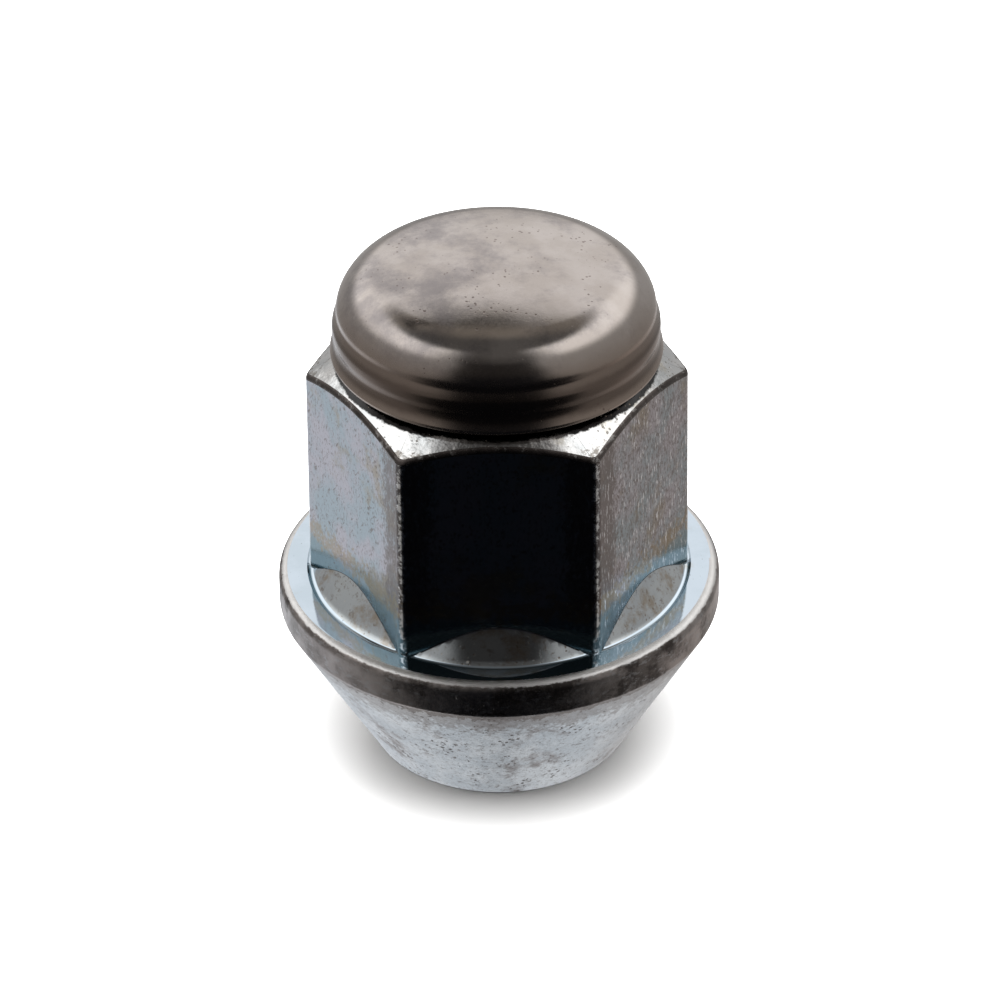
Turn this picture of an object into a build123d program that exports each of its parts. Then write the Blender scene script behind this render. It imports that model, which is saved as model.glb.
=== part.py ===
"""Capped cone-seat lug nut.

A forged and turned steel body carries a pressed stainless-steel cap. The body has a hexagon, a flange
with a conical seat below it and a collar on top. The cap's lower edge is curled in under the collar.

Frame: millimetres, +Z up. The origin is the centre of the small end face of the seat, so the nut stands
on that face. One flat of the hexagon faces -Y and two of its corners lie along X.
"""

import os
from math import asin, cos, radians, sin, tan

from build123d import *

# --- Hexagon ---------------------------------------------------------------------
across_flats = 21.0  # at the flange
hex_corner_radius = 0.8
hex_draft = 0.45  # degrees that each flat leans in towards the top
chamfer_apex_rise = 14.85  # middle of a flat's upper edge, above the flange
chamfer_angle = 30.0  # top chamfer, from the horizontal
chamfer_edge_round = 0.45
hexagon_root = 0.5  # how deep the hexagon is rooted in the flange
shoulder_width = 0.5  # flat ring left between the chamfer and the neck

# --- Turned foot of the hexagon ----------------------------------------------------
foot_apex_rise = 2.05  # highest point of the turning on a flat, above the flange
foot_bow = 0.1  # how far the turning bows in from a straight cone
foot_overrun = 0.25  # how far the turning runs on inside the flats
foot_reach = 1.25  # how far the turning's lower end stands out from the flats
groove_width = 0.44
groove_depth = 0.12

# --- Flange and conical seat -------------------------------------------------------
flange_land = 1.81  # flat top between the groove and the rim
flange_top_z = 12.3
flange_upper_round = 0.65
flange_lower_round = 0.4
seat_height = 10.05  # from the small end to the flange's rim
seat_angle = 60.0  # included angle of the cone
seat_end_round = 0.35

# --- Thread (M12 x 1.5), left at its minor diameter --------------------------------
thread_diameter = 12.0
thread_pitch = 1.5
thread_depth_factor = 1.0825  # major less minor diameter of the internal thread, in pitches
mouth_relief = 0.3  # countersink's radius beyond the thread's
exit_chamfer = 0.6

# --- Neck and collar that hold the cap ---------------------------------------------
collar_height = 1.3
collar_grip = 0.5  # how far the collar stands out from the neck
collar_edge_break = 0.15
skirt_clearance = 0.05  # between the collar and the inside of the skirt
lip_clearance = 0.1  # between the collar and the curled lip
lip_shoulder_gap = 0.45  # open gap between the lip and the body's shoulder

# --- Pressed cap -------------------------------------------------------------------
cap_thickness = 0.5
cap_setback = 0.55  # from the flats in to the cap's wall, so that a socket passes over the cap
crown_radius = 47.0  # slight crown of the top
cap_corner_radius = 3.1
dome_wall_height = 0.15  # straight wall between the skirt's crease and the corner
skirt_height = 2.25  # from the lower edge to the crease below the dome
skirt_step = 0.2  # how far the band stands out from the dome's wall
crease_depth = 0.1  # how far each crease is pressed in
bead_height = 1.15
bead_bulge = 0.17  # how far the rolled bead stands out from the band
bead_round = 0.4
lip_turn_in = 1.05  # how far the lip reaches in from the bead

# --- Derived sizes -----------------------------------------------------------------
flat_distance = across_flats / 2
corner_distance = across_flats / 3**0.5
top_flat_distance = flat_distance - chamfer_apex_rise * tan(radians(hex_draft))
bore_radius = (thread_diameter - thread_depth_factor * thread_pitch) / 2
mouth_radius = thread_diameter / 2 + mouth_relief
seat_slope = tan(radians(seat_angle / 2))

cap_radius = flat_distance - cap_setback
skirt_inner_radius = cap_radius + skirt_step - cap_thickness
collar_radius = skirt_inner_radius - skirt_clearance
neck_radius = collar_radius - collar_grip
shoulder_radius = neck_radius + shoulder_width
chamfer_slope = tan(radians(chamfer_angle))
chamfer_apex_z = flange_top_z + chamfer_apex_rise
shoulder_z = chamfer_apex_z + chamfer_slope * (top_flat_distance - shoulder_radius)
chamfer_foot_z = chamfer_apex_z - chamfer_slope * (corner_distance - top_flat_distance)

cap_bottom_z = shoulder_z + lip_shoulder_gap
lip_top_z = cap_bottom_z + cap_thickness
collar_bottom_z = lip_top_z + lip_clearance
collar_top_z = collar_bottom_z + collar_height
skirt_top_z = cap_bottom_z + skirt_height
wall_foot_z = skirt_top_z + 2 * crease_depth
band_top_z = skirt_top_z - crease_depth - skirt_step
bead_top_z = cap_bottom_z + bead_height
band_radius = cap_radius + skirt_step
bead_radius = band_radius + bead_bulge
lip_radius = bead_radius - lip_turn_in
corner_centre_z = wall_foot_z + dome_wall_height
crown_lean = asin((cap_radius - cap_corner_radius) / (crown_radius - cap_corner_radius))
crown_centre_z = corner_centre_z - (crown_radius - cap_corner_radius) * cos(crown_lean)

hexagon_foot_z = flange_top_z - hexagon_root
foot_outer_radius = flat_distance + foot_reach
groove_outer_radius = foot_outer_radius + groove_width
foot_inner_radius = flat_distance - foot_overrun
flange_radius = groove_outer_radius + flange_land
seat_end_radius = flange_radius - seat_slope * seat_height
foot_slope = foot_apex_rise / foot_reach
foot_top_z = flange_top_z + foot_apex_rise + foot_slope * foot_overrun


# --- Body --------------------------------------------------------------------------
with BuildPart() as nut_body:
    # Hexagon with rounded corners and a slight draft, from the flange up to the shoulder
    with BuildSketch(Plane.XY.offset(hexagon_foot_z)):
        RegularPolygon(radius=flat_distance, side_count=6, major_radius=False)
    extrude(amount=shoulder_z - hexagon_foot_z, taper=hex_draft)
    fillet(nut_body.edges().group_by(Axis.Z)[1], radius=hex_corner_radius)

    # Turned top chamfer
    with BuildSketch(Plane.XZ):
        with BuildLine():
            Polyline(
                (0, hexagon_foot_z),
                (corner_distance, hexagon_foot_z),
                (corner_distance, chamfer_foot_z),
                (shoulder_radius, shoulder_z),
                (0, shoulder_z),
                close=True,
            )
        make_face()
    revolve(axis=Axis.Z, mode=Mode.INTERSECT)
    chamfer_curves = (GeomType.HYPERBOLA, GeomType.BSPLINE)
    chamfer_edges = nut_body.edges().filter_by(
        lambda edge: edge.center().Z > chamfer_foot_z and edge.geom_type in chamfer_curves
    )
    fillet(chamfer_edges, radius=chamfer_edge_round)

    # Seat, flange, turned foot, neck and collar, in one revolved section
    with BuildSketch(Plane.XZ):
        with BuildLine():
            outline = FilletPolyline(
                (0, 0),
                (seat_end_radius, 0),
                (flange_radius, seat_height),
                (flange_radius, flange_top_z),
                (groove_outer_radius, flange_top_z),
                (groove_outer_radius - groove_depth, flange_top_z - groove_depth),
                (foot_outer_radius, flange_top_z - groove_depth),
                radius=(seat_end_round, flange_lower_round, flange_upper_round, 0, 0),
            )
            foot = SagittaArc(outline @ 1, (foot_inner_radius, foot_top_z), foot_bow)
            Polyline(
                foot @ 1,
                (neck_radius, foot_top_z),
                (neck_radius, collar_bottom_z),
                (collar_radius - collar_edge_break, collar_bottom_z),
                (collar_radius, collar_bottom_z + collar_edge_break),
                (collar_radius, collar_top_z),
                (0, collar_top_z),
                (0, 0),
            )
        make_face()
    revolve(axis=Axis.Z)

    # Bore at the thread's minor diameter, open at both ends, with a countersunk mouth
    with BuildSketch(Plane.XZ):
        with BuildLine():
            Polyline(
                (0, 0),
                (mouth_radius, 0),
                (bore_radius, mouth_radius - bore_radius),
                (bore_radius, collar_top_z - exit_chamfer),
                (bore_radius + exit_chamfer, collar_top_z),
                (0, collar_top_z),
                close=True,
            )
        make_face()
    revolve(axis=Axis.Z, mode=Mode.SUBTRACT)
nut_body.part.label = "nut_body"


# --- Cap ---------------------------------------------------------------------------
def dome_section(inset, foot_z):
    """Return half of the dome's section, set in from the outer surface."""
    crown_arc = crown_radius - inset
    wall = cap_radius - inset
    top = (0, crown_centre_z + crown_arc)
    shoulder = (crown_arc * sin(crown_lean), crown_centre_z + crown_arc * cos(crown_lean))
    with BuildSketch() as section:
        with BuildLine():
            RadiusArc(top, shoulder, crown_arc)
            RadiusArc(shoulder, (wall, corner_centre_z), cap_corner_radius - inset)
            Polyline((wall, corner_centre_z), (wall, foot_z), (0, foot_z), top)
        make_face()
    return section.sketch


with BuildPart() as cap:
    # Pressed shell in section: dome, step, band, rolled bead and curled lip
    with BuildSketch(Plane.XZ):
        add(dome_section(0, wall_foot_z))
        with BuildLine():
            FilletPolyline(
                (0, wall_foot_z),
                (cap_radius, wall_foot_z),
                (cap_radius - crease_depth, skirt_top_z),
                (band_radius, band_top_z),
                (band_radius, bead_top_z + crease_depth),
                (band_radius - crease_depth, bead_top_z),
                (bead_radius, bead_top_z - crease_depth - bead_bulge),
                (bead_radius, cap_bottom_z),
                (0, cap_bottom_z),
                radius=(0, 0, 0, 0, 0, 0, bead_round),
            )
            Line((0, cap_bottom_z), (0, wall_foot_z))
        make_face()
        add(dome_section(cap_thickness, collar_top_z), mode=Mode.SUBTRACT)
        with BuildLine():
            Polyline(
                (0, cap_bottom_z),
                (lip_radius, cap_bottom_z),
                (lip_radius, lip_top_z),
                (skirt_inner_radius, lip_top_z),
                (skirt_inner_radius, collar_top_z),
                (0, collar_top_z),
                close=True,
            )
        make_face(mode=Mode.SUBTRACT)
    revolve(axis=Axis.Z)
cap.part.label = "cap"

os.makedirs("parts", exist_ok=True)
for piece in (nut_body, cap):
    export_step(piece.part, f"parts/{piece.part.label}.step")
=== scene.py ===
"""Looks of a capped cone-seat lug nut.

The forged and turned body and its pressed stainless-steel cap are modelled in millimetres, brought to
metres when they are finished, and dressed with worn zinc plating and satin stainless steel.
"""

import logging
import math
from dataclasses import dataclass
from enum import Enum
from typing import Callable, Sequence

import bpy
from mathutils import Matrix, Vector


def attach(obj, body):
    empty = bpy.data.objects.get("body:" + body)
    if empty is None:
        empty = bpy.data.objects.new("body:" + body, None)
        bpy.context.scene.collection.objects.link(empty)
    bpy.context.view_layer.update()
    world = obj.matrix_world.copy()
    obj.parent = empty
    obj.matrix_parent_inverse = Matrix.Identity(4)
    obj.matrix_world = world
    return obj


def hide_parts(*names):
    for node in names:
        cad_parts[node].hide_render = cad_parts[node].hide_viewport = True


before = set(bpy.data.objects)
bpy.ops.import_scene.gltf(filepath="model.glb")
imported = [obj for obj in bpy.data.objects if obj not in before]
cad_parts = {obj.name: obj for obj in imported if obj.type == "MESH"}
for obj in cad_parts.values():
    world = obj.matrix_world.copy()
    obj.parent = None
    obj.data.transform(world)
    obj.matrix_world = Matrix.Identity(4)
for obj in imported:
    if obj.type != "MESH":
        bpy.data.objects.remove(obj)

logging.basicConfig(level=logging.INFO, format="%(levelname)s %(message)s")
log = logging.getLogger("lug_nut")

Piece = bpy.types.Object
Tree = bpy.types.NodeTree
Socket = bpy.types.NodeSocket
Point = tuple[float, float]
Triple = tuple[float, float, float]
Value = Socket | float | Triple
Step = tuple[Value, Value]
Outline = list[Point]
EdgeTest = Callable[[Vector, Vector, Vector], bool]

MM = 0.001
TURN_STEPS = 288
ROUNDING_STEP = 9.0
SEAM_TOLERANCE = 1e-4
SMOOTH_LIMIT = math.radians(21)
FACE_WEIGHT = 90
HEX_SIDES = 6
HALF_SIDE = math.radians(30)


class Slot(Enum):
    """Material slots of the record."""

    ZINC = "zinc_plated_steel"
    STAINLESS = "stainless_steel"


class Joining(Enum):
    """Ways in which one solid acts on another."""

    ADD = "UNION"
    CUT = "DIFFERENCE"
    KEEP_COMMON = "INTERSECT"


class Surface(Enum):
    """Surfaces of the body that carry their own finish."""

    FLAT = "flat"
    EDGE = "edge"
    CHAMFER = "chamfer"
    FOOT = "foot"
    LAND = "land"
    RIM = "rim"
    CONE = "cone"
    BORE = "bore"


# --- Bench work ---


def clear_selection() -> None:
    """Leave edit mode and deselect every object."""
    if bpy.context.object and bpy.context.object.mode != "OBJECT":
        bpy.ops.object.mode_set(mode="OBJECT")
    bpy.ops.object.select_all(action="DESELECT")


def take_up(piece: Piece) -> None:
    """Make one piece the only selected and the active object.

    Args:
        piece: the piece.
    """
    clear_selection()
    piece.select_set(True)
    bpy.context.view_layer.objects.active = piece


def rounded(corners: Sequence[tuple[float, ...]]) -> Outline:
    """Round the corners of an outline.

    Args:
        corners: (radius, height) or (radius, height, rounding) of each corner, in order.

    Returns:
        The outline's points, with an arc at each corner that has a rounding.
    """
    points: Outline = []
    for index, corner in enumerate(corners):
        here = Vector(corner[:2])
        rounding = corner[2] if len(corner) > 2 else 0.0
        if not rounding or index in (0, len(corners) - 1):
            points.append((here.x, here.y))
            continue
        before = (Vector(corners[index - 1][:2]) - here).normalized()
        after = (Vector(corners[index + 1][:2]) - here).normalized()
        turn = math.pi - before.angle(after)
        centre = here + (before + after).normalized() * rounding / math.cos(turn / 2)
        start = here + before * rounding * math.tan(turn / 2) - centre
        sense = math.copysign(1.0, after.x * before.y - after.y * before.x)
        count = max(2, math.ceil(math.degrees(turn) / ROUNDING_STEP))
        for part in range(count + 1):
            point = centre + Matrix.Rotation(sense * turn * part / count, 2) @ start
            points.append((point.x, point.y))
    return points


def bowed(start: Point, end: Point, sagitta: float, count: int) -> Outline:
    """Return the points between start and end on a shallow bow.

    Args:
        start: first end of the bow, which isn't among the points.
        end: second end of the bow, which isn't among the points.
        sagitta: how far the middle stands off the straight line, to the right of the way along it.
        count: number of points.

    Returns:
        The points of the bow.
    """
    first, last = Vector(start), Vector(end)
    along = last - first
    across = Vector((along.y, -along.x)).normalized()
    points = []
    for part in range(1, count + 1):
        share = part / (count + 1)
        point = first + along * share + across * sagitta * 4 * share * (1 - share)
        points.append((point.x, point.y))
    return points


def drawn(name: str, outline: Outline) -> Piece:
    """Draw an outline in the XZ plane, from a single point that is extruded along it.

    Args:
        name: name of the piece.
        outline: (radius, height) points in order.

    Returns:
        The drawn line, in edit mode and with all of it selected.
    """
    clear_selection()
    bpy.ops.mesh.primitive_plane_add(size=1.0)
    piece = bpy.context.object
    piece.name = name
    bpy.ops.object.mode_set(mode="EDIT")
    bpy.ops.mesh.select_mode(type="VERT")
    bpy.ops.mesh.select_all(action="SELECT")
    bpy.ops.mesh.merge(type="CENTER")
    bpy.ops.transform.translate(value=(outline[0][0], 0, outline[0][1]))
    for (radius, height), (last_radius, last_height) in zip(outline[1:], outline):
        step = (radius - last_radius, 0, height - last_height)
        bpy.ops.mesh.extrude_region_move(TRANSFORM_OT_translate={"value": step})
    bpy.ops.mesh.select_all(action="SELECT")
    bpy.ops.mesh.remove_doubles(threshold=SEAM_TOLERANCE)
    bpy.ops.mesh.select_all(action="SELECT")
    return piece


def close_seams() -> None:
    """Merge the doubled points of the piece in edit mode, turn its faces outwards and leave edit mode."""
    bpy.ops.mesh.select_all(action="SELECT")
    bpy.ops.mesh.remove_doubles(threshold=SEAM_TOLERANCE)
    bpy.ops.mesh.normals_make_consistent(inside=False)
    bpy.ops.object.mode_set(mode="OBJECT")


def turned(name: str, outline: Outline) -> Piece:
    """Turn a closed outline about the Z axis, as on a lathe.

    Args:
        name: name of the piece.
        outline: (radius, height) points round the section.

    Returns:
        The turned solid.
    """
    piece = drawn(name, [*outline, outline[0]])
    bpy.ops.mesh.spin(steps=TURN_STEPS, angle=math.tau, center=(0, 0, 0), axis=(0, 0, 1))
    close_seams()
    return piece


def join_solids(piece: Piece, tool: Piece, how: Joining) -> None:
    """Let one solid act on another and put the tool away.

    Args:
        piece: the solid that is changed.
        tool: the solid that acts on it, which is removed.
        how: what the tool does.
    """
    take_up(piece)
    modifier = piece.modifiers.new(tool.name, "BOOLEAN")
    modifier.operation = how.value
    modifier.solver = "EXACT"
    modifier.object = tool
    bpy.ops.object.modifier_apply(modifier=modifier.name)
    bpy.data.objects.remove(tool)


def round_edges(piece: Piece, chosen: EdgeTest, width: float, segments: int) -> None:
    """Bevel the chosen edges of a piece.

    Args:
        piece: the piece whose edges are rounded.
        chosen: takes an edge's middle and the normals of its two faces and says whether it is rounded.
        width: distance from the edge to the bevel's border.
        segments: number of strips in the bevel.
    """
    take_up(piece)
    bpy.ops.object.mode_set(mode="EDIT")
    bpy.ops.mesh.select_mode(type="EDGE")
    bpy.ops.mesh.select_all(action="DESELECT")
    bpy.ops.object.mode_set(mode="OBJECT")
    mesh = piece.data
    normals: dict[tuple[int, int], list[Vector]] = {}
    for face in mesh.polygons:
        for key in face.edge_keys:
            normals.setdefault(key, []).append(face.normal.copy())
    count = 0
    for edge in mesh.edges:
        pair = normals.get(edge.key, [])
        middle = (mesh.vertices[edge.vertices[0]].co + mesh.vertices[edge.vertices[1]].co) / 2
        if len(pair) == 2 and chosen(middle, pair[0], pair[1]):
            edge.select = True
            count += 1
    bpy.ops.object.mode_set(mode="EDIT")
    bpy.ops.mesh.bevel(offset=width, segments=segments, profile=0.5, affect="EDGES", clamp_overlap=False)
    bpy.ops.object.mode_set(mode="OBJECT")
    log.info("%s: %d edges rounded by %.2f mm", piece.name, count, width)


def finished(piece: Piece, node: str) -> Piece:
    """Bring a piece to metres, smooth its faces and hand it to the frame.

    Args:
        piece: the piece, modelled in millimetres.
        node: the solid that it stands for.

    Returns:
        The same piece.
    """
    take_up(piece)
    piece.scale = (MM, MM, MM)
    bpy.ops.object.transform_apply(location=True, rotation=True, scale=True)
    bpy.ops.object.shade_smooth_by_angle(angle=SMOOTH_LIMIT)
    weights = piece.modifiers.new("face_weights", "WEIGHTED_NORMAL")
    weights.keep_sharp = True
    weights.weight = FACE_WEIGHT
    bpy.ops.object.modifier_apply(modifier=weights.name)
    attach(piece, "root")
    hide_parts(node)
    log.info("%s: %d faces", piece.name, len(piece.data.polygons))
    return piece


# --- Shader work ---


@dataclass(frozen=True)
class Grain:
    """A noise pattern: its scale, its detail and how rough that is."""

    scale: float
    detail: float
    rough: float


class ShaderBench:
    """Places and wires the nodes of one shader tree.

    A colour Mix node takes its share and its two colours at MIX_INPUTS and gives its result at MIX_RESULT.
    """

    MIX_INPUTS = (0, 6, 7)
    MIX_RESULT = 2
    NOISE_MIDDLE = 0.5
    NOISE_SWING = 4.0

    def __init__(self, tree: Tree) -> None:
        """Keep the tree that the nodes go into."""
        self.tree = tree

    def place(self, kind: str, settings: dict | None = None, **inputs: Value) -> bpy.types.Node:
        """Add a node.

        Args:
            kind: the node's type name.
            settings: properties of the node itself.
            inputs: value or source socket of each named input; spaces are written as underscores.

        Returns:
            The new node.
        """
        node = self.tree.nodes.new(kind)
        for name, value in (settings or {}).items():
            setattr(node, name, value)
        for name, value in inputs.items():
            self.feed(node.inputs[name.replace("_", " ")], value)
        return node

    def feed(self, socket: Socket, value: Value) -> None:
        """Link a source socket to an input, or set the input's own value.

        Args:
            socket: the input.
            value: the source socket or the value.
        """
        if isinstance(value, Socket):
            self.tree.links.new(value, socket)
        elif isinstance(value, tuple) and socket.type == "RGBA":
            socket.default_value = (*value, 1.0)
        else:
            socket.default_value = value

    def worked(self, kind: str, settings: dict, *values: Value) -> Sequence[Socket]:
        """Add a node whose inputs take the values in order.

        Args:
            kind: the node's type name.
            settings: properties of the node itself.
            values: values or source sockets.

        Returns:
            The node's outputs.
        """
        node = self.place(kind, settings)
        for socket, value in zip(node.inputs, values):
            self.feed(socket, value)
        return node.outputs

    def math(self, operation: str, *values: Value) -> Socket:
        """Return the result of a Math node on one to three values."""
        return self.worked("ShaderNodeMath", {"operation": operation}, *values)[0]

    def plus(self, first: Value, second: Value) -> Socket:
        """Return the sum of two values."""
        return self.math("ADD", first, second)

    def minus(self, first: Value, second: Value) -> Socket:
        """Return the first value less the second."""
        return self.math("SUBTRACT", first, second)

    def times(self, first: Value, second: Value) -> Socket:
        """Return the product of two values."""
        return self.math("MULTIPLY", first, second)

    def larger(self, first: Value, second: Value) -> Socket:
        """Return the larger of two values."""
        return self.math("MAXIMUM", first, second)

    def rest(self, share: Value) -> Socket:
        """Return what a share leaves of 1."""
        return self.minus(1.0, share)

    def parts(self, vector: Value) -> Sequence[Socket]:
        """Return the three parts of a vector."""
        return self.place("ShaderNodeSeparateXYZ", Vector=vector).outputs

    def span(self, across: Value, along: Value) -> Socket:
        """Return the distance from the axis at a place so far across and along."""
        return self.math("SQRT", self.plus(self.times(across, across), self.times(along, along)))

    def scaled(self, vector: Value, factor: float) -> Socket:
        """Return a vector times a factor."""
        node = self.place("ShaderNodeVectorMath", {"operation": "SCALE"}, Vector=vector, Scale=factor)
        return node.outputs[0]

    def added(self, vector: Value, other: Value) -> Socket:
        """Return the sum of two vectors."""
        return self.worked("ShaderNodeVectorMath", {"operation": "ADD"}, vector, other)[0]

    def moved(self, vector: Value, distance: float) -> Socket:
        """Return coordinates shifted along every axis, for a pattern of their own."""
        return self.added(vector, (distance, distance, distance))

    def noise(self, vector: Value, grain: Grain, output: str = "Fac") -> Socket:
        """Return the value of a noise pattern, or another of its outputs."""
        values = {"Scale": grain.scale, "Detail": grain.detail, "Roughness": grain.rough}
        return self.place("ShaderNodeTexNoise", Vector=vector, **values).outputs[output]

    def wandering(self, level: Value, spot: Value, grain: Grain, ragged: Value) -> Socket:
        """Return a level that noise moves to and fro, so that a border along it is ragged.

        Args:
            level: the even level.
            spot: coordinates of the noise.
            grain: the noise.
            ragged: how far it moves the level.

        Returns:
            The uneven level.
        """
        swing = self.times(self.minus(self.noise(spot, grain), self.NOISE_MIDDLE), ragged)
        return self.plus(level, self.times(swing, self.NOISE_SWING))

    def between(self, value: Value, step: Step) -> Socket:
        """Return a soft step.

        Args:
            value: the value that the step is taken on.
            step: the value's levels at which the result is 0 and 1.

        Returns:
            The result, from 0 to 1.
        """
        node = self.place("ShaderNodeMapRange", {"interpolation_type": "SMOOTHSTEP"})
        for name, number in zip(("Value", "From Min", "From Max"), (value, *step)):
            self.feed(node.inputs[name], number)
        return node.outputs[0]

    def blend(self, share: Value, first: Value, second: Value) -> Socket:
        """Mix two colours.

        Args:
            share: share of the second colour, from 0 to 1.
            first: colour at a share of 0.
            second: colour at a share of 1.

        Returns:
            The mixed colour.
        """
        node = self.place("ShaderNodeMix", {"data_type": "RGBA"})
        for index, value in zip(self.MIX_INPUTS, (share, first, second)):
            self.feed(node.inputs[index], value)
        return node.outputs[self.MIX_RESULT]


def new_group(name: str, inputs: dict[str, float | None]) -> tuple[ShaderBench, list[Socket], Socket]:
    """Make a shader node group that works out one mask.

    Args:
        name: the group's name.
        inputs: default value of each input, or None for a vector.

    Returns:
        The group's bench, the sockets that give its inputs and the socket that takes the mask.
    """
    group = bpy.data.node_groups.new(name, "ShaderNodeTree")
    for label, value in inputs.items():
        kind = "NodeSocketVector" if value is None else "NodeSocketFloat"
        socket = group.interface.new_socket(label, in_out="INPUT", socket_type=kind)
        if value is not None:
            socket.default_value = value
    group.interface.new_socket("Mask", in_out="OUTPUT", socket_type="NodeSocketFloat")
    given = group.nodes.new("NodeGroupInput").outputs[:len(inputs)]
    return ShaderBench(group), given, group.nodes.new("NodeGroupOutput").inputs[0]


STREAK_NOISE = Grain(1.0, 6.0, 0.66)
STREAK_START = 0.76
STREAK_SPREAD = 0.24
STREAK_SOFTNESS = 0.07


def streak_group() -> Tree:
    """Draw fine streaks, on coordinates that are stretched across their run.

    Returns:
        The group.
    """
    bench, (spot, amount), mask = new_group("fine_streaks", {"Vector": None, "Amount": 0.5})
    level = bench.minus(STREAK_START, bench.times(amount, STREAK_SPREAD))
    streaks = bench.between(bench.noise(spot, STREAK_NOISE), (level, bench.plus(level, STREAK_SOFTNESS)))
    bench.feed(mask, streaks)
    return bench.tree


BAND_NOISE = Grain(1.6, 8.0, 0.75)


def band_group() -> Tree:
    """Mark a ragged level band round the axis.

    Returns:
        The group.
    """
    bench, (spot, low, high, soft, ragged), mask = new_group(
        "ragged_band", {"Vector": None, "Low": 0.0, "High": 1.0, "Soft": 0.1, "Ragged": 0.1},
    )
    height = bench.wandering(bench.parts(spot)[2], spot, BAND_NOISE, ragged)
    rise = bench.between(height, (bench.minus(low, soft), low))
    fall = bench.between(height, (high, bench.plus(high, soft)))
    bench.feed(mask, bench.times(rise, bench.rest(fall)))
    return bench.tree


CORNER_NOISE = Grain(2.6, 8.0, 0.8)
CORNER_CORE = 0.5


def corner_group() -> Tree:
    """Mark a ragged strip along each corner of the hexagon.

    Returns:
        The group.
    """
    bench, (spot, width, ragged), mask = new_group(
        "ragged_corners", {"Vector": None, "Width": 1.0, "Ragged": 0.5},
    )
    across, along, _ = bench.parts(spot)
    bearing = bench.math("PINGPONG", bench.math("ARCTAN2", along, across), HALF_SIDE)
    offset = bench.times(bench.span(across, along), bench.math("SINE", bearing))
    offset = bench.wandering(offset, spot, CORNER_NOISE, ragged)
    bench.feed(mask, bench.rest(bench.between(offset, (bench.times(width, CORNER_CORE), width))))
    return bench.tree


SPECK_WOBBLE = Grain(3.0, 3.0, 0.5)
SPECK_WOBBLE_REACH = 0.25
SPECK_PATCHES = Grain(0.45, 3.0, 0.55)
SPECK_PATCH_STEP = (0.42, 0.68)
SPECK_BORDER = (0.6, 1.0)
LEAST_SPECK = 0.001


def speck_group() -> Tree:
    """Scatter small irregular pits in patches.

    Returns:
        The group.
    """
    bench, (spot, scale, size), mask = new_group("small_specks", {"Vector": None, "Scale": 2.0, "Size": 0.2})
    wobble = bench.scaled(bench.noise(spot, SPECK_WOBBLE, "Color"), SPECK_WOBBLE_REACH)
    cells = bench.place("ShaderNodeTexVoronoi", Vector=bench.added(spot, wobble), Scale=scale)
    patch = bench.between(bench.noise(spot, SPECK_PATCHES), SPECK_PATCH_STEP)
    limit = bench.plus(bench.times(size, patch), LEAST_SPECK)
    ratio = bench.math("DIVIDE", cells.outputs["Distance"], limit)
    bench.feed(mask, bench.rest(bench.between(ratio, SPECK_BORDER)))
    return bench.tree


# --- Finishes ---


BARE_STEEL = (0.72, 0.72, 0.72)
# Black of painted shade under the cap's lip, laid on the chamfer below the lip and on the lip's underside.
SHADE_BLACK = (0.012, 0.011, 0.011)


@dataclass(frozen=True)
class Band:
    """A level band of another colour round the axis, with ragged borders. Heights in millimetres."""

    low: float
    high: float
    soft: float
    ragged: float
    colour: Triple
    share: float = 1.0


@dataclass(frozen=True)
class MetalFinish:
    """A worn metal finish: its colours, gloss and the wear that shows on it.

    Shares and amounts run from 0 to 1, and relief is in millimetres.
    """

    name: str
    base: Triple
    tint: Triple
    stain: Triple
    roughness: float
    worn_roughness: float = 0.45
    stain_share: float = 0.6
    stain_level: float = 0.56
    stain_softness: float = 0.12
    left_stain: float = 0.0
    patina: Triple = (0.1, 0.08, 0.07)
    patina_share: float = 0.5
    patina_level: float = 0.6
    patina_grain: Triple = (0.55, 0.55, 0.55)
    right_patina: float = 0.0
    corner_patina: float = 0.0
    outer_patina: float = 0.0
    corner_wear: float = 0.0
    flecks: float = 0.0
    fleck_colour: Triple = (0.13, 0.11, 0.1)
    fleck_grain: Triple = (6.0, 6.0, 3.0)
    scratches: float = 0.0
    streaks: float = 0.3
    streak_grain: Triple = (5.0, 5.0, 0.7)
    streak_colour: Triple = (0.7, 0.72, 0.74)
    right_streaks: bool = False
    specks: float = 0.25
    speck_depth: float = 0.7
    # Shares of the painted shade at the sides and in the middle.
    side_painted_shade: float = 0.0
    middle_painted_shade: float = 0.0
    dent: float = 1.0
    relief: float = 0.01
    waves: float = 0.0
    crown: float = 0.0
    bands: tuple[Band, ...] = ()
    band_roughness: float = 0.0


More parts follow.
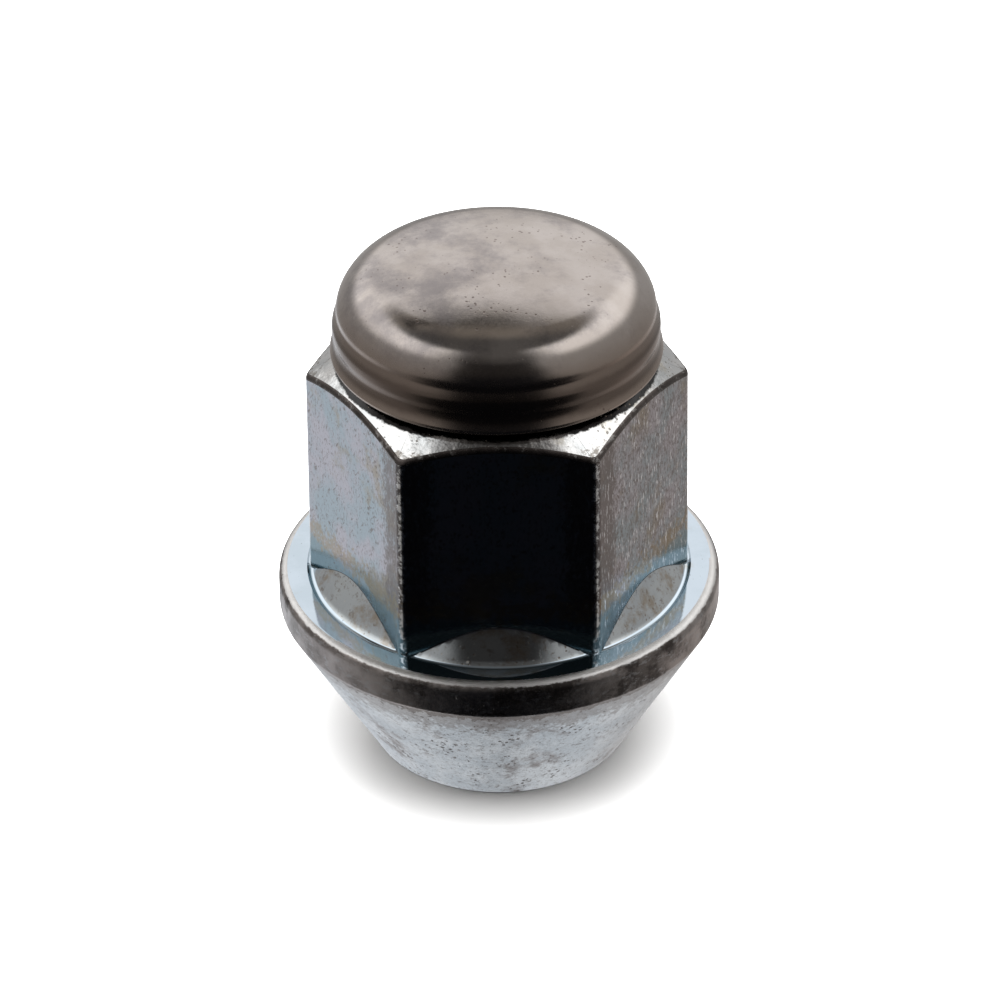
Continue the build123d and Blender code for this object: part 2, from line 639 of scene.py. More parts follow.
@dataclass(frozen=True)
class WearPattern:
    """Patterns and places of wear that the finishes share. Lengths in millimetres, turns in radians."""

    clouds: Grain = Grain(0.3, 6.0, 0.62)
    cloud_step: Step = (0.38, 0.62)
    fine: Grain = Grain(3.2, 9.0, 0.72)
    fine_step: Step = (0.3, 0.8)
    fine_height: float = 0.8
    stains: Grain = Grain(0.24, 8.0, 0.7)
    blotches: Grain = Grain(1.0, 9.0, 0.74)
    breaks: Grain = Grain(2.4, 4.0, 0.7)
    break_step: Step = (0.44, 0.54)
    swell: Grain = Grain(0.9, 3.0, 0.5)
    left_part: Step = (2.0, -4.0)
    right_part: Step = (4.5, 7.5)
    front_part: Step = (-5.0, -8.0)
    outer_part: Step = (10.7, 11.9)
    patina_softness: float = 0.1
    patina_corner: Point = (2.3, 0.5)
    fleck_step: Step = (0.52, 0.63)
    fleck_lean: float = 0.5
    scratch_turn: Triple = (0.75, 0.0, 0.0)
    scratch_grain: Triple = (0.3, 0.3, 3.0)
    scratch_share: float = 0.75
    streak_share: float = 0.8
    left_streaks: float = 0.05
    wear_corner: Point = (0.26, 0.25)
    # Painted shade: levels and greys of the darker sides and middle, by the distance to the left or right.
    side_shade_step: Step = (7.0, 8.6)
    side_shade_grey: Triple = (0.3, 0.31, 0.32)
    middle_shade_step: Step = (4.6, 3.0)
    middle_shade_grey: Triple = (0.14, 0.13, 0.125)
    speck_scale: float = 2.6
    even_gloss: float = 0.8
    uneven_gloss: float = 0.4
    patina_shift: float = 31.0
    fleck_shift: float = 57.0
    scratch_shift: float = 83.0
    break_shift: float = 11.0


WEAR = WearPattern()


class FinishWork(ShaderBench):
    """A bench that lays one finish into a new material, layer over layer."""

    def __init__(self, finish: MetalFinish, groups: dict[str, Tree]) -> None:
        """Start the material with the bare metal's colour, on coordinates in millimetres.

        Args:
            finish: the finish to lay.
            groups: the shared node groups by name.
        """
        self.finish = finish
        self.groups = groups
        self.material = bpy.data.materials.new(finish.name)
        self.material.use_nodes = True
        super().__init__(self.material.node_tree)
        self.shader = self.tree.nodes["Principled BSDF"]
        self.shader.inputs["Metallic"].default_value = 1.0
        self.spot = self.scaled(self.place("ShaderNodeTexCoord").outputs["Object"], 1 / MM)
        self.side, self.depth, _ = self.parts(self.spot)
        self.right = self.between(self.side, WEAR.right_part)
        self.fine = self.noise(self.spot, WEAR.fine)
        clouds = self.between(self.noise(self.spot, WEAR.clouds), WEAR.cloud_step)
        self.colour: Value = self.blend(clouds, finish.base, finish.tint)
        self.banded: Value = 0.0

    def lay(self) -> bpy.types.Material:
        """Lay every layer of the finish.

        Returns:
            The material.
        """
        finish = self.finish
        stained = self.lay_stains()
        lean = self.patina_lean()
        oxide = self.lay_patina(lean)
        if finish.flecks:
            self.lay_flecks(lean)
        if finish.scratches:
            self.lay_scratches()
        self.lay_bands()
        streak = self.lay_streaks()
        if finish.corner_wear:
            self.lay_corner_wear()
        # Painted shade at the sides and in the middle.
        if finish.side_painted_shade:
            self.lay_painted_shade()
        speck = self.group_mask("specks", self.spot, WEAR.speck_scale, finish.specks)
        self.cover(speck, finish.speck_depth, finish.patina)
        self.feed(self.shader.inputs["Base Color"], self.colour)
        self.set_roughness(self.larger(self.larger(stained, oxide), speck))
        self.set_relief(self.larger(speck, streak))
        return self.material

    def cover(self, mask: Value, share: float, colour: Triple) -> Socket:
        """Lay a colour over what is there.

        Args:
            mask: where the colour lies.
            share: how much it hides.
            colour: the colour.

        Returns:
            The mask times the share.
        """
        laid = self.times(mask, share)
        self.colour = self.blend(laid, self.colour, colour)
        return laid

    def group_mask(self, name: str, *values: Value) -> Socket:
        """Place a shared group and return the mask that it works out."""
        return self.worked("ShaderNodeGroup", {"node_tree": self.groups[name]}, *values)[0]

    def radius(self) -> Socket:
        """Return the distance from the axis."""
        across, along, _ = self.parts(self.spot)
        return self.span(across, along)

    def blotches(self, shift: float, grain: Triple) -> Socket:
        """Draw a rough noise pattern.

        Args:
            shift: distance that gives it a place of its own.
            grain: its density along each axis.

        Returns:
            The pattern's value.
        """
        shifted = self.moved(self.spot, shift)
        mapped = self.place("ShaderNodeMapping", Vector=shifted, Scale=grain)
        return self.noise(mapped.outputs[0], WEAR.blotches)

    def lay_stains(self) -> Socket:
        """Lay the wide stains.

        Returns:
            Their mask times their share.
        """
        finish = self.finish
        cloud = self.noise(self.spot, WEAR.stains)
        if finish.left_stain:
            left = self.times(self.between(self.side, WEAR.left_part), finish.left_stain)
            cloud = self.plus(cloud, left)
        mask = self.between(cloud, (finish.stain_level, finish.stain_level + finish.stain_softness))
        return self.cover(mask, finish.stain_share, finish.stain)

    def patina_lean(self) -> Socket:
        """Work out how much denser the patina is to the right, along the front corners and far out.

        Returns:
            What is added to the patina's pattern.
        """
        finish = self.finish
        lean = self.times(self.right, finish.right_patina)
        if finish.corner_patina:
            corner = self.group_mask("corners", self.spot, *WEAR.patina_corner)
            corner = self.times(corner, self.between(self.depth, WEAR.front_part))
            lean = self.plus(lean, self.times(corner, finish.corner_patina))
        if finish.outer_patina:
            outer = self.between(self.radius(), WEAR.outer_part)
            lean = self.plus(lean, self.times(outer, finish.outer_patina))
        return lean

    def lay_patina(self, lean: Value) -> Socket:
        """Lay the blotches of patina.

        Args:
            lean: what is added to their pattern.

        Returns:
            Their mask times their share.
        """
        finish = self.finish
        grain = self.plus(self.blotches(WEAR.patina_shift, finish.patina_grain), lean)
        mask = self.between(grain, (finish.patina_level, finish.patina_level + WEAR.patina_softness))
        return self.cover(mask, finish.patina_share, finish.patina)

    def lay_flecks(self, lean: Value) -> None:
        """Lay the small dark flecks.

        Args:
            lean: how much denser they are than by themselves.
        """
        finish = self.finish
        fleck = self.blotches(WEAR.fleck_shift, finish.fleck_grain)
        fleck = self.plus(fleck, self.times(lean, WEAR.fleck_lean))
        self.cover(self.between(fleck, WEAR.fleck_step), finish.flecks, finish.fleck_colour)

    def lay_scratches(self) -> None:
        """Lay the slanting dark scratches."""
        slanted = self.place(
            "ShaderNodeMapping", {"vector_type": "TEXTURE"}, Scale=WEAR.scratch_grain,
            Vector=self.moved(self.spot, WEAR.scratch_shift), Rotation=WEAR.scratch_turn,
        )
        scratch = self.group_mask("streaks", slanted.outputs[0], self.finish.scratches)
        self.cover(scratch, WEAR.scratch_share, self.finish.patina)

    def lay_bands(self) -> None:
        """Lay the level bands, and keep where they are."""
        for band in self.finish.bands:
            mask = self.group_mask("band", self.spot, band.low, band.high, band.soft, band.ragged)
            self.cover(mask, band.share, band.colour)
            self.banded = self.larger(self.banded, mask)

    def lay_streaks(self) -> Socket:
        """Lay the fine streaks.

        Returns:
            Their mask.
        """
        finish = self.finish
        drawn_out = self.place("ShaderNodeMapping", Vector=self.spot, Scale=finish.streak_grain).outputs[0]
        streak = self.group_mask("streaks", drawn_out, finish.streaks)
        if finish.right_streaks:
            share = self.plus(self.times(self.right, 1 - WEAR.left_streaks), WEAR.left_streaks)
            streak = self.times(streak, share)
        self.cover(streak, WEAR.streak_share, finish.streak_colour)
        return streak

    def lay_corner_wear(self) -> None:
        """Lay the bare metal that shows in places along the hexagon's corners."""
        wear = self.group_mask("corners", self.spot, *WEAR.wear_corner)
        breaks = self.noise(self.moved(self.spot, WEAR.break_shift), WEAR.breaks)
        wear = self.times(wear, self.between(breaks, WEAR.break_step))
        self.cover(wear, self.finish.corner_wear, BARE_STEEL)

    def lay_painted_shade(self) -> None:
        """Lay painted shade: a darker grey at the sides and in the middle, by the distance to the left or
        right.
        """
        offset = self.math("ABSOLUTE", self.side)
        self.cover(self.between(offset, WEAR.side_shade_step), self.finish.side_painted_shade, WEAR.side_shade_grey)
        self.cover(self.between(offset, WEAR.middle_shade_step), self.finish.middle_painted_shade, WEAR.middle_shade_grey)

    def set_roughness(self, worn: Value) -> None:
        """Set the gloss: uneven all over, and another where the metal is worn or banded.

        Args:
            worn: mask of the worn places.
        """
        finish = self.finish
        uneven = self.between(self.fine, WEAR.fine_step)
        rough = self.plus(
            finish.roughness * WEAR.even_gloss, self.times(uneven, WEAR.uneven_gloss * finish.roughness),
        )
        rough = self.plus(rough, self.times(worn, finish.worn_roughness - finish.roughness))
        if finish.band_roughness:
            rough = self.plus(rough, self.times(self.banded, finish.band_roughness))
        self.feed(self.shader.inputs["Roughness"], rough)

    def set_relief(self, hollows: Value) -> None:
        """Set the relief: fine grain, hollows, a swell and a slope that falls away from the axis.

        Args:
            hollows: mask of the specks and streaks.
        """
        finish = self.finish
        height = self.minus(self.times(self.fine, WEAR.fine_height), self.times(hollows, finish.dent))
        swell = self.times(self.noise(self.spot, WEAR.swell), finish.waves / finish.relief)
        height = self.plus(height, swell)
        if finish.crown:
            fall = self.times(self.radius(), finish.crown / finish.relief)
            height = self.minus(height, fall)
        bump = self.place("ShaderNodeBump", Strength=1.0, Distance=finish.relief * MM, Height=height)
        self.feed(self.shader.inputs["Normal"], bump.outputs[0])


BODY_FINISHES = {
    Surface.FLAT: MetalFinish(
        "forged_flat", base=(0.22, 0.265, 0.29), tint=(0.29, 0.28, 0.305), stain=(0.21, 0.175, 0.12),
        roughness=0.07, worn_roughness=0.25, stain_share=0.75, stain_level=0.51,
        patina=(0.09, 0.07, 0.06), patina_share=0.6, patina_level=0.62, patina_grain=(2.2, 2.2, 1.1),
        right_patina=0.09, corner_patina=0.22, corner_wear=0.9,
        flecks=0.75, fleck_colour=(0.1, 0.085, 0.08), scratches=0.7,
        streaks=0.8, streak_grain=(7.0, 7.0, 1.3), streak_colour=(0.7, 0.72, 0.75), right_streaks=True,
        specks=0.35, dent=0.1, relief=0.008,
        bands=(
            # Painted reflection: the teal band low on the flats stands in for the reflection of the flange
            # land.
            Band(11.0, 14.4, 0.9, 0.1, (0.1, 0.17, 0.195), 0.75),
            Band(15.3, 15.6, 0.7, 1.9, (0.2, 0.15, 0.08), 0.65),
        ),
    ),
    Surface.EDGE: MetalFinish(
        "worn_edge", base=(0.05, 0.043, 0.04), tint=(0.11, 0.095, 0.09), stain=(0.04, 0.03, 0.025),
        roughness=0.35, patina=(0.4, 0.39, 0.38), patina_share=0.7, patina_level=0.54,
        patina_grain=(1.5, 1.5, 1.5), streaks=0.1, specks=0.1, relief=0.02,
    ),
    Surface.CHAMFER: MetalFinish(
        "bright_chamfer", base=(0.7, 0.73, 0.75), tint=(0.85, 0.85, 0.85), stain=(0.46, 0.4, 0.28),
        roughness=0.14, worn_roughness=0.3, stain_share=0.65, stain_level=0.55,
        patina=(0.2, 0.17, 0.14), patina_share=0.75, patina_level=0.56, patina_grain=(2.0, 2.0, 2.0),
        # The chamfer's darker sides and middle are painted shade.
        outer_patina=0.13, streaks=0.2, specks=0.3, side_painted_shade=0.1, middle_painted_shade=0.75,
        # The black band on the chamfer's inner ring is painted shadow under the cap's lip.
        relief=0.01, waves=0.07, crown=0.19, bands=(Band(27.36, 29.0, 0.07, 0.07, SHADE_BLACK),),
    ),
    Surface.FOOT: MetalFinish(
        "turned_foot", base=(0.5, 0.54, 0.57), tint=(0.58, 0.62, 0.64), stain=(0.36, 0.3, 0.23),
        roughness=0.1, worn_roughness=0.2, stain_share=0.8, stain_level=0.49,
        patina=(0.2, 0.15, 0.11), patina_share=0.6, patina_level=0.54, patina_grain=(2.0, 2.0, 2.0),
        # The foot's light upright streaks are painted sheen for the streaked reflections of the turned lens;
        # in the relief they are the turning marks.
        streaks=0.5, streak_grain=(2.6, 2.6, 0.05), streak_colour=(0.6, 0.56, 0.5), relief=0.003,
    ),
    Surface.LAND: MetalFinish(
        "bright_land", base=(0.53, 0.62, 0.7), tint=(0.58, 0.67, 0.76), stain=(0.48, 0.46, 0.38),
        roughness=0.03, worn_roughness=0.12, stain_share=0.5, stain_level=0.57,
        patina_share=0.2, patina_level=0.66, patina_grain=(0.9, 0.9, 0.9),
        streaks=0.05, specks=0.15, relief=0.002,
    ),
    Surface.RIM: MetalFinish(
        "worn_rim", base=(0.15, 0.134, 0.126), tint=(0.33, 0.3, 0.29), stain=(0.04, 0.034, 0.031),
        roughness=0.36, stain_share=0.85, stain_level=0.49,
        patina=(0.36, 0.36, 0.37), patina_share=0.6, patina_level=0.53, patina_grain=(1.3, 1.3, 3.2),
        streaks=0.2, specks=0.1, relief=0.02, bands=(Band(12.14, 12.4, 0.08, 0.09, BARE_STEEL, 0.9),),
    ),
    Surface.CONE: MetalFinish(
        "matt_cone", base=(0.33, 0.36, 0.385), tint=(0.44, 0.46, 0.475), stain=(0.16, 0.13, 0.12),
        roughness=0.34, stain_share=0.75, stain_level=0.53,
        patina=(0.1, 0.08, 0.07), patina_share=0.65, patina_level=0.55, patina_grain=(1.7, 1.7, 2.4),
        flecks=0.6, fleck_colour=(0.12, 0.1, 0.09), fleck_grain=(5.0, 5.0, 5.0),
        streaks=0.15, specks=0.4, relief=0.015,
        bands=(
            Band(9.65, 11.0, 0.12, 0.7, (0.06, 0.05, 0.045)),
            Band(8.8, 11.0, 1.1, 1.7, (0.12, 0.1, 0.09), 0.62),
        ),
    ),
    Surface.BORE: MetalFinish(
        "cut_thread", base=(0.4, 0.4, 0.4), tint=(0.5, 0.5, 0.5), stain=(0.25, 0.2, 0.15), roughness=0.3,
    ),
}
CAP_FINISH = MetalFinish(
    "satin_stainless", base=(0.43, 0.39, 0.365), tint=(0.49, 0.45, 0.43), stain=(0.25, 0.23, 0.235),
    roughness=0.13, worn_roughness=0.2, stain_share=0.85, stain_level=0.47, stain_softness=0.26,
    left_stain=0.11, patina=(0.14, 0.1, 0.09), patina_share=0.3, patina_level=0.68,
    streaks=0.12, streak_grain=(0.8, 7.0, 7.0), streak_colour=(0.58, 0.54, 0.51),
    relief=0.003, band_roughness=0.12,
    bands=(
        Band(20.0, 31.0, 2.2, 0.1, (0.27, 0.215, 0.18), 0.9),
        # The two darker brown bands at the skirt's creases are painted crease shade laid over the cap's brown
        # patina.
        Band(30.85, 31.05, 0.4, 0.06, (0.12, 0.09, 0.075), 0.4),
        Band(28.95, 30.35, 0.5, 0.06, (0.085, 0.063, 0.052), 0.72),
        # The black underside of the lip is painted shade.
        Band(20.0, 28.07, 0.03, 0.0, SHADE_BLACK),
    ),
)


# --- Body ---


@dataclass(frozen=True)
class FaceLimits:
    """Limits that tell the body's faces apart: upward parts of normals, and distances in millimetres."""

    side: float = 0.5
    seat: float = -0.45
    foot: float = 0.3
    flat: float = 0.06
    upright: float = 0.1
    chamfer_slack: float = 0.02
    seat_margin: float = 0.3
    land_slack: float = 0.001
    near: float = 0.05
    edge_clearance: float = 0.2
    chamfer_edge_rise: float = 5.0
    foot_edge_rise: Point = (0.1, 4.0)


@dataclass
class NutBody:
    """Hexagon, flange, conical seat, neck and collar, with its threaded bore. Sizes in millimetres."""

    across_flats: float = 21.0
    hex_corner_round: float = 0.8
    hex_draft: float = 0.45
    hexagon_root: float = 0.5
    chamfer_apex_rise: float = 14.85
    chamfer_angle: float = 30.0
    chamfer_edge_width: float = 0.24
    foot_rise: float = 2.05
    foot_bow: float = 0.1
    foot_overrun: float = 0.25
    foot_reach: float = 1.25
    foot_edge_width: float = 0.05
    foot_sink: float = 0.05
    groove_width: float = 0.44
    groove_depth: float = 0.12
    land_width: float = 1.81
    land_height: float = 12.3
    upper_round: float = 0.65
    lower_round: float = 0.4
    seat_height: float = 10.05
    seat_angle: float = 60.0
    end_round: float = 0.35
    thread_radius: float = 6.0
    thread_depth: float = 0.812
    thread_pitch: float = 1.5
    thread_crest_share: float = 0.25
    thread_flank_share: float = 0.3125
    mouth_relief: float = 0.3
    mouth_depth: float = 1.3
    neck_radius: float = 9.1
    collar_radius: float = 9.6
    shoulder_width: float = 0.5
    collar_foot_rise: float = 1.05
    collar_height: float = 1.3
    collar_break: float = 0.15
    tool_overrun: float = 1.0
    overrun_turns: int = 2
    turn_points: int = 48
    groove_points: int = 6
    foot_points: int = 7
    corner_strips: int = 8
    chamfer_strips: int = 5
    foot_strips: int = 2
    limits: FaceLimits = FaceLimits()

    def __post_init__(self) -> None:
        """Work out the sizes that follow from the others."""
        self.flat_distance = self.across_flats / 2
        self.corner_distance = self.across_flats / math.sqrt(3)
        self.foot_radius = self.flat_distance + self.foot_reach
        self.groove_radius = self.foot_radius + self.groove_width
        self.flange_radius = self.groove_radius + self.land_width
        seat_slope = math.tan(math.radians(self.seat_angle / 2))
        self.seat_radius = self.flange_radius - seat_slope * self.seat_height
        self.foot_top = self.land_height + self.foot_rise * (1 + self.foot_overrun / self.foot_reach)
        self.shoulder_radius = self.neck_radius + self.shoulder_width
        self.chamfer_slope = math.tan(math.radians(self.chamfer_angle))
        lean = self.chamfer_apex_rise * math.tan(math.radians(self.hex_draft))
        self.chamfer_apex = self.land_height + self.chamfer_apex_rise
        self.top_flat_distance = self.flat_distance - lean
        self.shoulder = self.chamfer_height(self.shoulder_radius)
        self.collar_foot = self.shoulder + self.collar_foot_rise
        self.collar_top = self.collar_foot + self.collar_height
        low, high = (self.land_height + rise for rise in self.limits.foot_edge_rise)
        self.foot_edge_span = (low, high)
        low = self.land_height + self.limits.chamfer_edge_rise
        self.chamfer_edge_span = (low, self.shoulder - self.limits.edge_clearance)

    def chamfer_height(self, radius: float) -> float:
        """Return the height of the top chamfer at a radius."""
        return self.chamfer_apex + self.chamfer_slope * (self.top_flat_distance - radius)

    def turned_blank(self) -> Piece:
        """Turn the seat, flange, groove, foot, neck and collar.

        Returns:
            The turned part.
        """
        outline = rounded([
            (0, 0),
            (self.seat_radius, 0, self.end_round),
            (self.flange_radius, self.seat_height, self.lower_round),
            (self.flange_radius, self.land_height, self.upper_round),
            (self.groove_radius, self.land_height),
        ])
        groove_foot = (self.foot_radius, self.land_height - self.foot_sink)
        foot_end = (self.flat_distance - self.foot_overrun, self.foot_top)
        outline += bowed(outline[-1], groove_foot, -self.groove_depth, self.groove_points)
        outline += [groove_foot, *bowed(groove_foot, foot_end, -self.foot_bow, self.foot_points), foot_end]
        outline += [
            (self.neck_radius, self.foot_top),
            (self.neck_radius, self.collar_foot),
            (self.collar_radius - self.collar_break, self.collar_foot),
            (self.collar_radius, self.collar_foot + self.collar_break),
            (self.collar_radius, self.collar_top),
            (0, self.collar_top),
        ]
        return turned("nut_body_turned", outline)

    def hexagon(self) -> Piece:
        """Forge the hexagon with rounded corners and draft, and turn its top chamfer.

        Returns:
            The hexagon.
        """
        foot = self.land_height - self.hexagon_root
        height = self.shoulder + self.tool_overrun - foot
        clear_selection()
        bpy.ops.mesh.primitive_cylinder_add(
            vertices=HEX_SIDES, radius=self.corner_distance, depth=height,
            location=(0, 0, foot + height / 2), rotation=(0, 0, HALF_SIDE),
        )
        piece = bpy.context.object
        piece.name = "nut_body_plated"
        bpy.ops.object.transform_apply(location=True, rotation=True, scale=True)
        bpy.ops.object.mode_set(mode="EDIT")
        bpy.ops.mesh.select_all(action="DESELECT")
        bpy.ops.object.mode_set(mode="OBJECT")
        for vertex in piece.data.vertices:
            vertex.select = vertex.co.z > foot + height / 2
        bpy.ops.object.mode_set(mode="EDIT")
        share = 1 - (height - self.hexagon_root) * math.tan(math.radians(self.hex_draft)) / self.flat_distance
        bpy.ops.transform.resize(value=(share, share, 1), center_override=(0, 0, 0))
        bpy.ops.object.mode_set(mode="OBJECT")
        corner_width = self.hex_corner_round * math.tan(HALF_SIDE)
        round_edges(piece, self.is_corner, corner_width, self.corner_strips)
        join_solids(piece, self.chamfer_envelope(), Joining.KEEP_COMMON)
        round_edges(piece, self.is_chamfer_edge, self.chamfer_edge_width, self.chamfer_strips)
        return piece

    def is_corner(self, _: Vector, one: Vector, other: Vector) -> bool:
        """Say whether an edge between two faces is an upright corner of the hexagon."""
        return abs(one.z) < self.limits.side and abs(other.z) < self.limits.side

    def is_chamfer_edge(self, middle: Vector, one: Vector, other: Vector) -> bool:
        """Say whether an edge is where the top chamfer meets the sides of the hexagon."""
        low, high = self.chamfer_edge_span
        return low < middle.z < high and (one.z > self.limits.side) != (other.z > self.limits.side)

    def is_foot_edge(self, middle: Vector, one: Vector, other: Vector) -> bool:
        """Say whether an edge is where the flats meet the turned foot."""
        (low, high), upright = self.foot_edge_span, self.limits.upright
        return low < middle.z < high and (abs(one.z) < upright) != (abs(other.z) < upright)

    def chamfer_envelope(self) -> Piece:
        """Turn the solid that the top chamfer leaves of the hexagon.

        Returns:
            The solid.
        """
        wide = self.corner_distance + self.tool_overrun
        low = self.land_height - self.hexagon_root - self.tool_overrun
        return turned("chamfer_envelope", [
            (0, low),
            (wide, low),
            (wide, self.chamfer_height(wide)),
            (self.shoulder_radius, self.shoulder),
            (0, self.shoulder),
        ])

    def thread_cutter(self) -> Piece:
        """Make the solid that the bore and its thread take out of the body.

        Returns:
            The cutter.
        """
        crest = self.thread_radius - self.thread_depth
        pitch = self.thread_pitch
        low = -self.overrun_turns * pitch
        tooth = [
            (crest, 0.0),
            (crest, self.thread_crest_share),
            (self.thread_radius, self.thread_crest_share + self.thread_flank_share),
            (self.thread_radius, 1 - self.thread_flank_share),
            (crest, 1.0),
        ]
        piece = drawn("thread_cutter", [(radius, low + share * pitch) for radius, share in tooth])
        bpy.ops.object.mode_set(mode="OBJECT")
        screw = piece.modifiers.new("helix", "SCREW")
        screw.axis = "Z"
        screw.screw_offset = pitch
        screw.iterations = math.ceil((self.collar_top - low) / pitch) + self.overrun_turns
        screw.steps = self.turn_points
        screw.render_steps = self.turn_points
        screw.use_merge_vertices = True
        screw.merge_threshold = SEAM_TOLERANCE
        take_up(piece)
        bpy.ops.object.modifier_apply(modifier=screw.name)
        bpy.ops.object.mode_set(mode="EDIT")
        overrun = self.tool_overrun / 2
        for height, outer in ((-overrun, False), (self.collar_top + overrun, True)):
            bpy.ops.mesh.select_all(action="SELECT")
            bpy.ops.mesh.bisect(
                plane_co=(0, 0, height), plane_no=(0, 0, 1), use_fill=True,
                clear_outer=outer, clear_inner=not outer, threshold=SEAM_TOLERANCE,
            )
        close_seams()
        return piece

    def mouth_cutter(self) -> Piece:
        """Turn the countersink at the foot of the bore.

        Returns:
            The cutter.
        """
        wide = self.thread_radius + self.mouth_relief
        return turned("mouth_cutter", [
            (0, -self.tool_overrun),
            (wide + self.tool_overrun, -self.tool_overrun),
            (wide - self.mouth_depth, self.mouth_depth),
            (0, self.mouth_depth),
        ])

    def surface_of(self, centre: Vector, normal: Vector) -> Surface:
        """Say which surface a face belongs to.

        Args:
            centre: the face's centre.
            normal: the face's normal.

        Returns:
            The surface.
        """
        limits = self.limits
        radius = math.hypot(centre.x, centre.y)
        if radius < self.thread_radius + self.mouth_relief:
            return Surface.BORE
        if centre.z < self.seat_height + limits.seat_margin and normal.z < limits.seat:
            return Surface.CONE
        if radius > self.flange_radius - self.upper_round + limits.near:
            return Surface.RIM
        if centre.z < self.land_height + limits.land_slack:
            return Surface.LAND
        if radius < self.shoulder_radius + limits.near:
            return Surface.CHAMFER
        if centre.z < self.foot_top and normal.z > limits.foot:
            return Surface.FOOT
        if normal.z > math.cos(math.radians(self.chamfer_angle)) - limits.chamfer_slack:
            return Surface.CHAMFER
        return Surface.FLAT if abs(normal.z) < limits.flat else Surface.EDGE

    def build(self, groups: dict[str, Tree]) -> Piece:
        """Make and dress the body.

        Args:
            groups: the shared node groups by name.

        Returns:
            The finished piece.
        """
        piece = self.hexagon()
        join_solids(piece, self.turned_blank(), Joining.ADD)
        round_edges(piece, self.is_foot_edge, self.foot_edge_width, self.foot_strips)
        join_solids(piece, self.thread_cutter(), Joining.CUT)
        join_solids(piece, self.mouth_cutter(), Joining.CUT)
        order = list(Surface)
        piece.data.materials.clear()
        for surface in order:
            piece.data.materials.append(FinishWork(BODY_FINISHES[surface], groups).lay())
        for face in piece.data.polygons:
            face.material_index = order.index(self.surface_of(face.center, face.normal))
        return finished(piece, "nut_body")


# --- Cap ---


@dataclass(frozen=True)
class Bend:
    """A bend of the cap's skirt: how far outside a radius and above the cap's foot, and its rounding."""

    out: float
    rise: float
    rounding: float

    def corner(self, radius: float, bottom: float) -> tuple[float, float, float]:
        """Return the bend as a corner of an outline."""
        return (radius + self.out, bottom + self.rise, self.rounding)


@dataclass
class PressedCap:
    """Stainless-steel cap with its creased skirt, rolled bead and curled lip. Sizes in millimetres."""

    thickness: float = 0.5
    radius: float = 9.95
    crown_radius: float = 47.0
    corner_radius: float = 3.1
    corner_start: float = 20.0
    corner_points: int = 16
    crown_points: int = 12
    wall_height: float = 0.35
    bottom: float = 28.052
    skirt_height: float = 2.25
    skirt_step: float = 0.2
    bead_bulge: float = 0.17
    lip_reach: float = 1.05
    ledge_rise: float = 1.9
    lip_bend: Bend = Bend(-0.05, 0.0, 0.25)
    bead_bend: Bend = Bend(0.0, 0.3, 0.2)
    lower_band: Bend = Bend(-0.04, 0.85, 1.2)
    crease: Bend = Bend(-0.1, 1.27, 0.5)
    upper_band: Bend = Bend(0.01, 1.7, 0.8)
    shoulder: Bend = Bend(-0.02, 2.2, 0.8)
    neck: Bend = Bend(-0.09, 2.86, 0.6)
    wall_foot: Bend = Bend(-0.068, 3.25, 1.0)

    def dome(self, inset: float) -> Outline:
        """Draw the dome's section from its wall up to the axis.

        Args:
            inset: how far it is set in from the outer surface.

        Returns:
            The section's points.
        """
        corner_r = self.radius - self.corner_radius
        corner_z = self.bottom + self.skirt_height + self.wall_height
        rise = self.crown_radius - self.corner_radius
        lean = math.asin(corner_r / rise)
        crown_z = corner_z - rise * math.cos(lean)
        reach = self.corner_radius - inset
        crown = self.crown_radius - inset
        start = math.radians(self.corner_start)
        points = []
        for part in range(self.corner_points + 1):
            angle = start + (math.pi / 2 - lean - start) * part / self.corner_points
            points.append((corner_r + reach * math.cos(angle), corner_z + reach * math.sin(angle)))
        for part in range(1, self.crown_points + 1):
            angle = lean * (1 - part / self.crown_points)
            points.append((crown * math.sin(angle), crown_z + crown * math.cos(angle)))
        return points

    def outline(self) -> Outline:
        """Draw the section of the pressed shell.

        Returns:
            The section's points.
        """
        bottom = self.bottom
        band = self.radius + self.skirt_step
        bead = band + self.bead_bulge
        inner = band - self.thickness
        lip = bead - self.lip_reach
        ledge = bottom + self.ledge_rise
        dome = self.dome(0)
        skirt = rounded([
            (lip, bottom),
            self.lip_bend.corner(bead, bottom),
            self.bead_bend.corner(bead, bottom),
            self.lower_band.corner(band, bottom),
            self.crease.corner(band, bottom),
            self.upper_band.corner(band, bottom),
            self.shoulder.corner(band, bottom),
            self.neck.corner(self.radius, bottom),
            self.wall_foot.corner(self.radius, bottom),
            dome[0],
        ])
        return skirt + dome[1:] + self.dome(self.thickness)[::-1] + [
            (self.radius - self.thickness, ledge),
            (inner, ledge),
            (inner, bottom + self.thickness),
            (lip, bottom + self.thickness),
        ]

    def build(self, groups: dict[str, Tree]) -> Piece:
        """Make and dress the cap.

        Args:
            groups: the shared node groups by name.

        Returns:
            The finished piece.
        """
        piece = turned("cap_pressed", self.outline())
        piece.data.materials.clear()
        piece.data.materials.append(FinishWork(CAP_FINISH, groups).lay())
        return finished(piece, "cap")


# --- Studio ---


